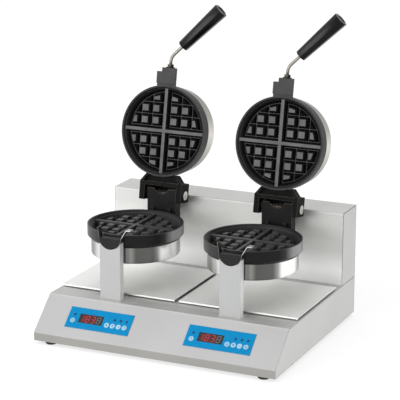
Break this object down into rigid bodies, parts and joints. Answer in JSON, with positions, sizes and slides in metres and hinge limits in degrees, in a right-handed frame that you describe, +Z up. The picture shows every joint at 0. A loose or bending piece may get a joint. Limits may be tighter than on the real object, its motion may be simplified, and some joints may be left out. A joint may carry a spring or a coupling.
{
  "type": "rotary waffle baker",
  "caption": "Twin flip-over round waffle baker: hinged iron plates with pegs on rotating drums, posts and saddles, drip trays and two sloping control panels on a steel cabinet.",
  "frame": {"origin": "centre of the plan outline, on the surface the feet stand on", "axes": "+Z up, -Y towards the operator (control panels), +X to the operator's right"},
  "size_m": [0.556, 0.476, 0.6875],
  "materials": {
    "stainless": "fine satin",
    "polished_steel": "polished",
    "coated_iron": "non-stick coated casting",
    "black_iron": "black painted casting",
    "dark_steel": "blackened",
    "bronze": "plain turned",
    "black_rubber": "matt",
    "black_plastic": "moulded matt",
    "blue_film": "printed polyester film",
    "light_blue_keys": "moulded",
    "display_lens": "dark red lens",
    "lamp_lens": "tinted lens",
    "board": "soldered circuit board",
    "terminal": "moulded",
    "heater_sheath": "heat-tinted"
  },
  "bodies": {
    "cabinet": {"front_deck_panel": "stainless", "side_panel_left": "stainless", "side_panel_right": "stainless", "base_plate": "stainless", "back_panel": "stainless", "housing_cover": "stainless", "housing_end_left": "stainless", "housing_end_right": "stainless", "rubber_feet": "black_rubber", "cable_gland": "black_plastic", "terminal_block": "terminal", "control_boards": "board", "displays": "display_lens", "indicator_lamps": "lamp_lens", "control_fascia_left": "blue_film", "control_fascia_right": "blue_film", "post_left": "stainless", "post_right": "stainless", "saddles": "stainless", "rear_bearings": "bronze"},
    "tray_left": {"drip_tray_left": "stainless"},
    "tray_right": {"drip_tray_right": "stainless"},
    "button_left_1": {"button_left_1": "light_blue_keys"},
    "button_left_2": {"button_left_2": "light_blue_keys"},
    "button_left_3": {"button_left_3": "light_blue_keys"},
    "button_left_4": {"button_left_4": "light_blue_keys"},
    "button_left_5": {"button_left_5": "light_blue_keys"},
    "button_right_1": {"button_right_1": "light_blue_keys"},
    "button_right_2": {"button_right_2": "light_blue_keys"},
    "button_right_3": {"button_right_3": "light_blue_keys"},
    "button_right_4": {"button_right_4": "light_blue_keys"},
    "button_right_5": {"button_right_5": "light_blue_keys"},
    "rotor_left": {"lower_plate_left": "coated_iron", "lower_drum_left": "polished_steel", "lower_element_left": "heater_sheath", "hinge_bracket_left": "black_iron", "hinge_screws_left": "dark_steel", "rear_axle_left": "dark_steel", "hinge_pin_left": "polished_steel", "hinge_spring_left": "dark_steel"},
    "lid_left": {"lid_plate_left": "coated_iron", "lid_drum_left": "polished_steel", "lid_element_left": "heater_sheath", "lid_yoke_left": "black_iron", "handle_rod_left": "polished_steel", "handle_grip_left": "black_plastic"},
    "rotor_right": {"lower_plate_right": "coated_iron", "lower_drum_right": "polished_steel", "lower_element_right": "heater_sheath", "hinge_bracket_right": "black_iron", "hinge_screws_right": "dark_steel", "rear_axle_right": "dark_steel", "hinge_pin_right": "polished_steel", "hinge_spring_right": "dark_steel"},
    "lid_right": {"lid_plate_right": "coated_iron", "lid_drum_right": "polished_steel", "lid_element_right": "heater_sheath", "lid_yoke_right": "black_iron", "handle_rod_right": "polished_steel", "handle_grip_right": "black_plastic"}
  },
  "joints": [
    {"name": "rotor_turn_left", "type": "hinge", "parent": "cabinet", "child": "rotor_left", "pos_m": [-0.139, -0.028, 0.2275], "axis": [0, 1, 0], "range_deg": [-36, 18]},
    {"name": "lid_hinge_left", "type": "hinge", "parent": "rotor_left", "child": "lid_left", "pos_m": [-0.139, 0.113, 0.2625], "axis": [1, 0, 0], "range_deg": [0, 100.5]},
    {"name": "tray_slide_left", "type": "slide", "parent": "cabinet", "child": "tray_left", "axis": [-1, 0, 0], "range_m": [0, 0.12]},
    {"name": "button_press_left_1", "type": "slide", "parent": "cabinet", "child": "button_left_1", "axis": [0, 0.6656, -0.7463], "range_m": [0, 0.0008], "stiffness_N_per_m": 300, "springref_m": -0.001},
    {"name": "button_press_left_2", "type": "slide", "parent": "cabinet", "child": "button_left_2", "axis": [0, 0.6656, -0.7463], "range_m": [0, 0.0008], "stiffness_N_per_m": 300, "springref_m": -0.001},
    {"name": "button_press_left_3", "type": "slide", "parent": "cabinet", "child": "button_left_3", "axis": [0, 0.6656, -0.7463], "range_m": [0, 0.0008], "stiffness_N_per_m": 300, "springref_m": -0.001},
    {"name": "button_press_left_4", "type": "slide", "parent": "cabinet", "child": "button_left_4", "axis": [0, 0.6656, -0.7463], "range_m": [0, 0.0008], "stiffness_N_per_m": 300, "springref_m": -0.001},
    {"name": "button_press_left_5", "type": "slide", "parent": "cabinet", "child": "button_left_5", "axis": [0, 0.6656, -0.7463], "range_m": [0, 0.0008], "stiffness_N_per_m": 300, "springref_m": -0.001},
    {"name": "rotor_turn_right", "type": "hinge", "parent": "cabinet", "child": "rotor_right", "pos_m": [0.139, -0.028, 0.2275], "axis": [0, 1, 0], "range_deg": [-24, 36]},
    {"name": "lid_hinge_right", "type": "hinge", "parent": "rotor_right", "child": "lid_right", "pos_m": [0.139, 0.113, 0.2625], "axis": [1, 0, 0], "range_deg": [0, 100.5]},
    {"name": "tray_slide_right", "type": "slide", "parent": "cabinet", "child": "tray_right", "axis": [1, 0, 0], "range_m": [0, 0.12]},
    {"name": "button_press_right_1", "type": "slide", "parent": "cabinet", "child": "button_right_1", "axis": [0, 0.6656, -0.7463], "range_m": [0, 0.0008], "stiffness_N_per_m": 300, "springref_m": -0.001},
    {"name": "button_press_right_2", "type": "slide", "parent": "cabinet", "child": "button_right_2", "axis": [0, 0.6656, -0.7463], "range_m": [0, 0.0008], "stiffness_N_per_m": 300, "springref_m": -0.001},
    {"name": "button_press_right_3", "type": "slide", "parent": "cabinet", "child": "button_right_3", "axis": [0, 0.6656, -0.7463], "range_m": [0, 0.0008], "stiffness_N_per_m": 300, "springref_m": -0.001},
    {"name": "button_press_right_4", "type": "slide", "parent": "cabinet", "child": "button_right_4", "axis": [0, 0.6656, -0.7463], "range_m": [0, 0.0008], "stiffness_N_per_m": 300, "springref_m": -0.001},
    {"name": "button_press_right_5", "type": "slide", "parent": "cabinet", "child": "button_right_5", "axis": [0, 0.6656, -0.7463], "range_m": [0, 0.0008], "stiffness_N_per_m": 300, "springref_m": -0.001}
  ]
}
